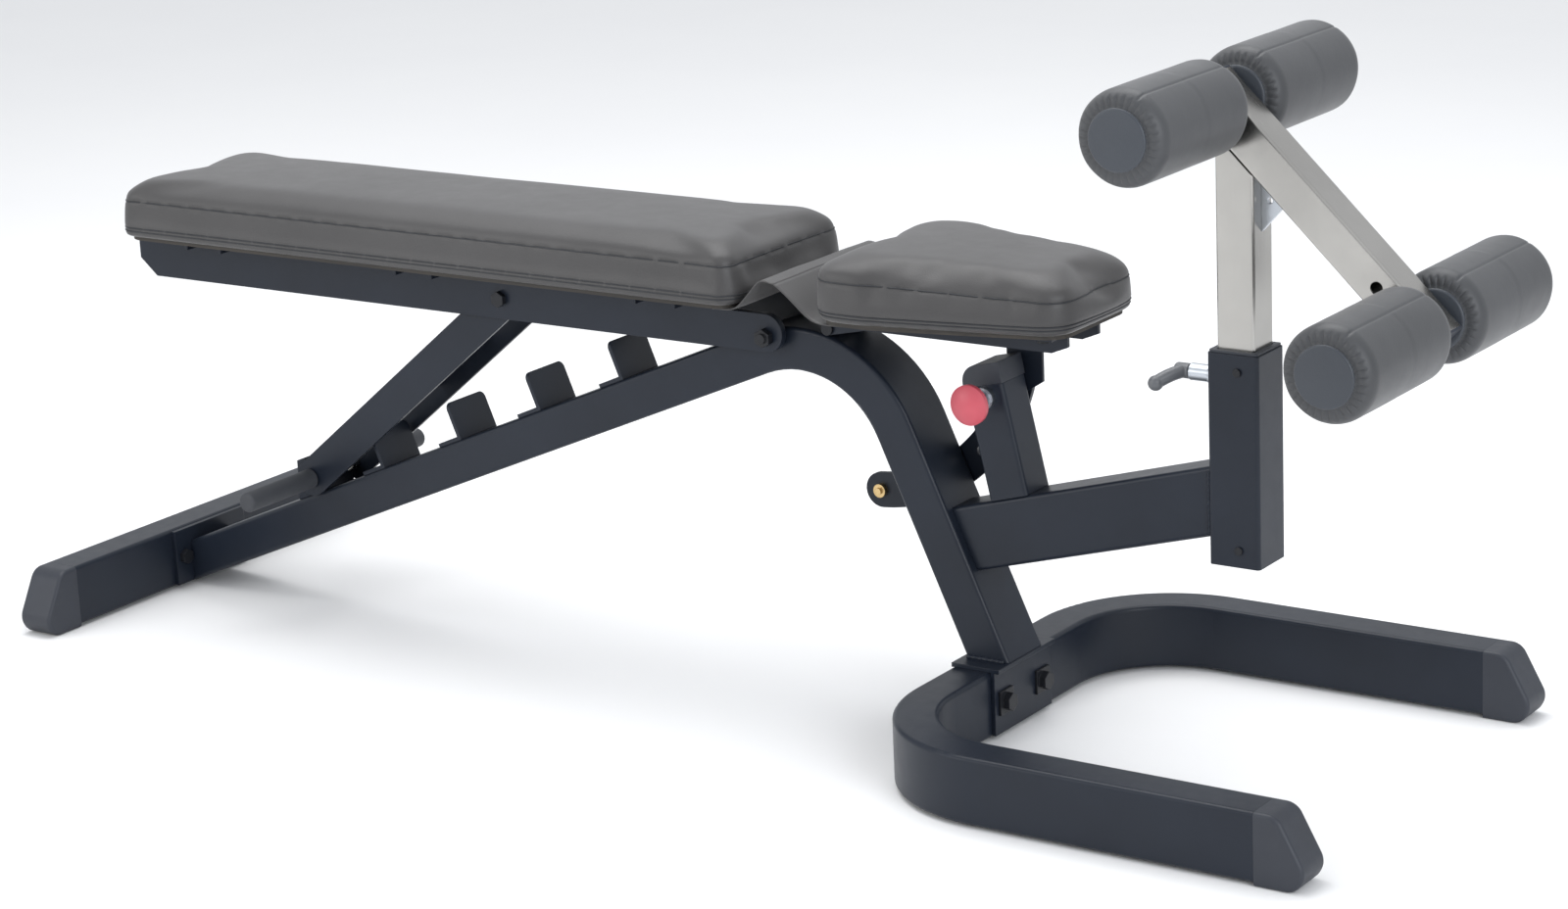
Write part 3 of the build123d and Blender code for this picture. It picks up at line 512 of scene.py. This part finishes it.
seat = make_cushion("seat_cushion", "seat", ["seat_pad"], seat_outline,
                    seat_board_low.z + 0.003, seat_high.z + 0.002, 0.005, PAD_SEAMS, seat_drop)


# ---- rollers --------------------------------------------------------------------------------------
AROUND = 384
PLEATS = 32


def roller_radius(along, length, radius, disc):
    """Hands back its four arguments unchanged; nothing in the script calls it."""
    return along, length, radius, disc


def roller_profile(length, radius, disc):
    """Half profile of a roller, as (place along the axis, radius, how deep its pleats are)."""
    points = []
    bulge = 0.016
    for k in range(5):
        f = k / 5
        points.append((0.004 * (1 - f) * 0 + 0.002 * f, disc - 0.004 + 0.006 * f, 0.3 * f))
    for k in range(15):
        angle = math.pi / 2 * k / 14
        z = 0.002 - 0.0035 * math.sin(2 * angle) * 0.4 + bulge * (1 - math.cos(angle))
        r = disc + 0.002 + (radius - disc - 0.002) * math.sin(angle)
        depth = 0.35 + 0.65 * math.sin(min(angle * 1.6, math.pi / 2))
        if angle > 0.35:
            depth = max(0.0, 1 - (angle - 0.35) / 0.40)
        points.append((z, r, depth))
    middle = 22
    for k in range(1, middle):
        f = k / middle
        points.append((bulge + (length / 2 - bulge) * f, radius, 0.0))
    points.append((length / 2, radius, 0.0))
    return points


def make_roller(level, side):
    """A foam roller gathered into pleats round its end discs, with its seam and discs."""
    node = f"roller_pad_{level}_{side}"
    body = f"roller_{level}_{side}"
    low, high = box_of(node)
    centre = (low + high) / 2
    length = high.y - low.y
    radius = (high.x - low.x) / 2
    disc = 0.033
    half = roller_profile(length, radius - 0.0006, disc)
    phase = random.random() * 6.28
    wobble = [random.uniform(-0.35, 0.35) for _ in range(PLEATS)]
    strength = [random.uniform(0.65, 1.15) for _ in range(PLEATS)]
    full = [(z - length / 2, r, d, 0) for z, r, d in half]
    full += [(length / 2 - z, r, d, 1) for z, r, d in reversed(half[:-1])]
    verts = []
    for z, r, depth, end in full:
        for i in range(AROUND):
            angle = 2 * math.pi * i / AROUND
            turn = angle / (2 * math.pi) * PLEATS + phase + end * 0.5
            cell = int(math.floor(turn)) % PLEATS
            inside = turn - math.floor(turn) + 0.18 * wobble[cell] * math.sin(2 * math.pi * turn)
            fold = abs(math.sin(math.pi * inside)) ** 0.55
            amount = depth * 0.0030 * (fold - 0.75) * strength[cell]
            seam = 0.0
            off = (angle - 1.1 + math.pi) % (2 * math.pi) - math.pi
            if depth == 0.0:
                seam = -0.0009 * math.exp(-((off * radius) / 0.0016) ** 2)
            soft = 0.0007 * noise.noise(Vector((math.cos(angle) * 1.6, math.sin(angle) * 1.6, z * 9 + end)))
            rr = r + (amount * min(1.0, r / radius) if r > disc - 0.002 else 0) + seam + (soft if r > disc else 0)
            lift = -amount * (0.9 if end == 0 else -0.9) if depth > 0 and r < radius - 0.004 else 0.0
            verts.append(Vector((centre.x + rr * math.cos(angle), centre.y + z + lift, centre.z + rr * math.sin(angle))))
    faces = loops_to_faces(len(full), AROUND)
    bore = 0.0131
    count = len(full)
    for ring, y in ((0, full[0][0]), (count - 1, full[-1][0])):
        base = len(verts)
        for i in range(AROUND):
            angle = 2 * math.pi * i / AROUND
            verts.append(Vector((centre.x + bore * math.cos(angle), centre.y + y, centre.z + bore * math.sin(angle))))
        faces += [(ring * AROUND + i, ring * AROUND + (i + 1) % AROUND, base + (i + 1) % AROUND, base + i)
                  for i in range(AROUND)]
    first = count * AROUND
    second = first + AROUND
    faces += [(first + i, first + (i + 1) % AROUND, second + (i + 1) % AROUND, second + i) for i in range(AROUND)]
    roller = add_mesh(f"roller_{level}_{side}_cover", verts, faces)
    set_material(roller, M["roller_vinyl"])
    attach(roller, body)
    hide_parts(node)
    make_discs(level, side, body, centre, disc)


def lathe(name, centre, profile, inner_open):
    """A round piece about Y, from (place along Y, radius) points."""
    sides = 96
    verts = []
    for y, r in profile:
        for i in range(sides):
            angle = 2 * math.pi * i / sides
            verts.append(Vector((centre.x + r * math.cos(angle), y, centre.z + r * math.sin(angle))))
    faces = loops_to_faces(len(profile), sides)
    last = (len(profile) - 1) * sides
    if inner_open:
        faces += [(last + i, last + (i + 1) % sides, (i + 1) % sides, i) for i in range(sides)]
    else:
        faces.append(tuple(range(sides)))
        faces.append(tuple(range(last, last + sides)))
    return add_mesh(name, verts, faces)


def make_discs(level, side, body, centre, disc):
    """The two end discs: a padded one outside, with a rolled rim, and an open one round the axle."""
    node = f"roller_discs_{level}_{side}"
    low, high = box_of(node)
    sign = 1 if side == "left" else -1
    outer_y = high.y if sign > 0 else low.y
    inner_y = low.y if sign > 0 else high.y
    dome = []
    for k in range(9):
        angle = math.pi / 2 * k / 8
        dome.append((outer_y - sign * 0.0022 * (1 - math.sin(angle)), disc - 0.0025 * (1 - math.cos(angle))))
    dome = [(outer_y - sign * 0.0060, disc - 0.001)] + dome
    for k in range(1, 12):
        r = (disc - 0.0025) * (1 - k / 12)
        dome.append((outer_y + sign * 0.0009 * math.sin(math.pi / 2 * k / 12), max(r, 0.0006)))
    outer = lathe(f"disc_{level}_{side}_outer", centre, dome, False)
    axle = 0.01275
    ring = [(inner_y + sign * 0.0055, disc - 0.001), (inner_y + sign * 0.0020, disc), (inner_y + sign * 0.0006, disc - 0.0008),
            (inner_y, disc - 0.003), (inner_y, axle + 0.002), (inner_y + sign * 0.0005, axle), (inner_y + sign * 0.0055, axle)]
    inner = lathe(f"disc_{level}_{side}_inner", centre, ring, True)
    for piece in (outer, inner):
        set_material(piece, M["disc_vinyl"])
        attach(piece, body)
    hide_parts(node)
    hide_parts(node)


for level in ("upper", "lower"):
    for side in ("left", "right"):
        make_roller(level, side)


# ---- flap between the pads --------------------------------------------------------------------------
FLAP_HALF = 0.110


def make_flap(name, path, bodies):
    """A strip of vinyl across the gap, following (x, z) points, attached to its body when given one, and left
    unattached in place when given two.
    """
    across = 40
    fine = []
    for (x0, z0), (x1, z1) in zip(path, path[1:]):
        fine += [(x0 + (x1 - x0) * k / 6, z0 + (z1 - z0) * k / 6) for k in range(6)]
    fine.append(path[-1])
    for _ in range(5):
        fine = [fine[0]] + [((a[0] + 2 * b[0] + c[0]) / 4, (a[1] + 2 * b[1] + c[1]) / 4)
                            for a, b, c in zip(fine, fine[1:], fine[2:])] + [fine[-1]]
    verts = []
    for x, z in fine:
        for j in range(across + 1):
            y = FLAP_HALF * (2 * j / across - 1)
            wave = 0.0012 * noise.noise(Vector((x * 24, y * 18, 0.3)))
            verts.append(Vector((x, y, z + wave)))
    faces = loops_to_faces(len(fine), across + 1, closed=False)
    sheet = add_mesh(name, verts, faces)
    solid = sheet.modifiers.new("thickness", "SOLIDIFY")
    solid.thickness = 0.0014
    solid.offset = 0
    graph = bpy.context.evaluated_depsgraph_get()
    mesh = bpy.data.meshes.new_from_object(sheet.evaluated_get(graph))
    sheet.modifiers.clear()
    sheet.data = mesh
    set_material(sheet, M["vinyl"])
    if len(bodies) == 1:
        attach(sheet, bodies[0])
    else:
        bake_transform(sheet)


back_x = back_high.x
meet = (back_x + 0.046, 0.515)
make_flap("gap_flap_back", [(back_x - 0.040, 0.4785), (back_x - 0.010, 0.4795), (back_x + 0.009, 0.4985),
                            (back_x + 0.026, 0.5190), meet],
          ("backrest", "frame"))
make_flap("gap_flap_front", [meet, (meet[0] + 0.018, 0.5020), (seat_low.x + 0.002, 0.4745),
                             (seat_low.x + 0.045, 0.4765)],
          ("frame", "seat"))


# ---- welds ----------------------------------------------------------------------------------------
def weld(name, points, body, radius=0.0028):
    """A bead of weld: a cord with overlapping ripples."""
    run = []
    for a, b in zip(points, points[1:]):
        a, b = Vector(a), Vector(b)
        parts = max(2, round((b - a).length / 0.0011))
        run += [a.lerp(b, k / parts) for k in range(parts)]
    run.append(Vector(points[-1]))
    bead = tube_mesh(name, run, radius, closed=False, sides=10)
    for i, v in enumerate(bead.data.vertices):
        ring = i // 10
        middle = run[min(ring, len(run) - 1)]
        swell = 1 + 0.16 * math.sin(ring * 0.9) + 0.10 * noise.noise(v.co * 160)
        v.co = middle + (v.co - middle) * swell
    set_material(bead, M["powder_coat"])
    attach(bead, body)


saddle_low, saddle_high = box_of("saddle_bracket")
leg_front = 0.3795
LEG_HALF = 0.0375
foot_z = saddle_high.z + 0.001
weld("weld_leg_near", [(leg_front - 0.052, -LEG_HALF - 0.001, foot_z), (leg_front - 0.004, -LEG_HALF - 0.001, foot_z)], "frame")
weld("weld_leg_far", [(leg_front - 0.052, LEG_HALF + 0.001, foot_z), (leg_front - 0.004, LEG_HALF + 0.001, foot_z)], "frame")
sleeve_low, sleeve_high = box_of("post_sleeve")
for sign, side in ((-1, "near"), (1, "far")):
    y = sign * 0.0262
    weld(f"weld_sleeve_{side}", [(sleeve_low.x - 0.001, y, 0.270), (sleeve_low.x - 0.001, y, 0.339)], "frame", 0.0022)
post_low, post_high = box_of("seat_support_post")


# ---- stage ----------------------------------------------------------------------------------------
def make_stage():
    """A pale floor that runs out to the horizon."""
    reach = 30.0
    floor = add_mesh("floor", [(-reach, -reach, 0), (reach, -reach, 0), (reach, reach, 0), (-reach, reach, 0)],
                     [(0, 1, 2, 3)], smooth=False)
    s = Shader("floor")
    tone = s.ramp(s.noise(0.8), [(0.3, (0.86, 0.86, 0.865)), (0.7, (0.89, 0.89, 0.89))])
    set_material(floor, s.finish(tone, s.span(s.noise(3.0), 0.7, 0.85)))


def area_light(name, place, target, size, power, colour=(1, 1, 1)):
    """A soft square light aimed at a point."""
    data = bpy.data.lights.new(name, "AREA")
    data.shape = "RECTANGLE"
    data.size, data.size_y = size
    data.energy = power
    data.color = colour
    obj = bpy.data.objects.new(name, data)
    obj.location = place
    obj.rotation_euler = (Vector(target) - Vector(place)).to_track_quat("-Z", "Y").to_euler()
    bpy.context.scene.collection.objects.link(obj)


def make_lights():
    """Plain studio light: bright surroundings, a broad top light and two soft sides."""
    world = bpy.data.worlds.new("studio")
    bpy.context.scene.world = world
    world.use_nodes = True
    background = world.node_tree.nodes["Background"]
    background.inputs["Color"].default_value = (0.95, 0.97, 1.0, 1)
    background.inputs["Strength"].default_value = 0.85
    area_light("top", (-0.4, 0.4, 3.4), (0, 0, 0.3), (3.2, 2.2), 90)
    area_light("front_right", (3.6, -1.8, 1.7), (0.2, 0, 0.3), (1.6, 2.2), 60, (0.93, 0.96, 1.0))
    area_light("near_left", (-2.2, -3.2, 1.6), (-0.1, 0, 0.3), (2.2, 1.6), 35, (1.0, 0.99, 0.97))


def make_camera():
    """The camera of the reference view, solved from the straight edges of the frame."""
    place = Vector((2.4649, -3.4442, 1.4743))
    right = Vector((0.826281, 0.561542, -0.043938))
    up = Vector((-0.118856, 0.250077, 0.960903))
    back = right.cross(up)
    data = bpy.data.cameras.new("camera")
    data.sensor_width = 36.0
    data.lens = 86.26
    data.clip_end = 100.0
    obj = bpy.data.objects.new("camera", data)
    turn = Matrix((right, up, back)).transposed()
    obj.matrix_world = Matrix.Translation(place) @ turn.to_4x4()
    bpy.context.scene.collection.objects.link(obj)
    bpy.context.scene.camera = obj


make_stage()
make_lights()
make_camera()
bpy.context.scene.view_settings.view_transform = "Standard"
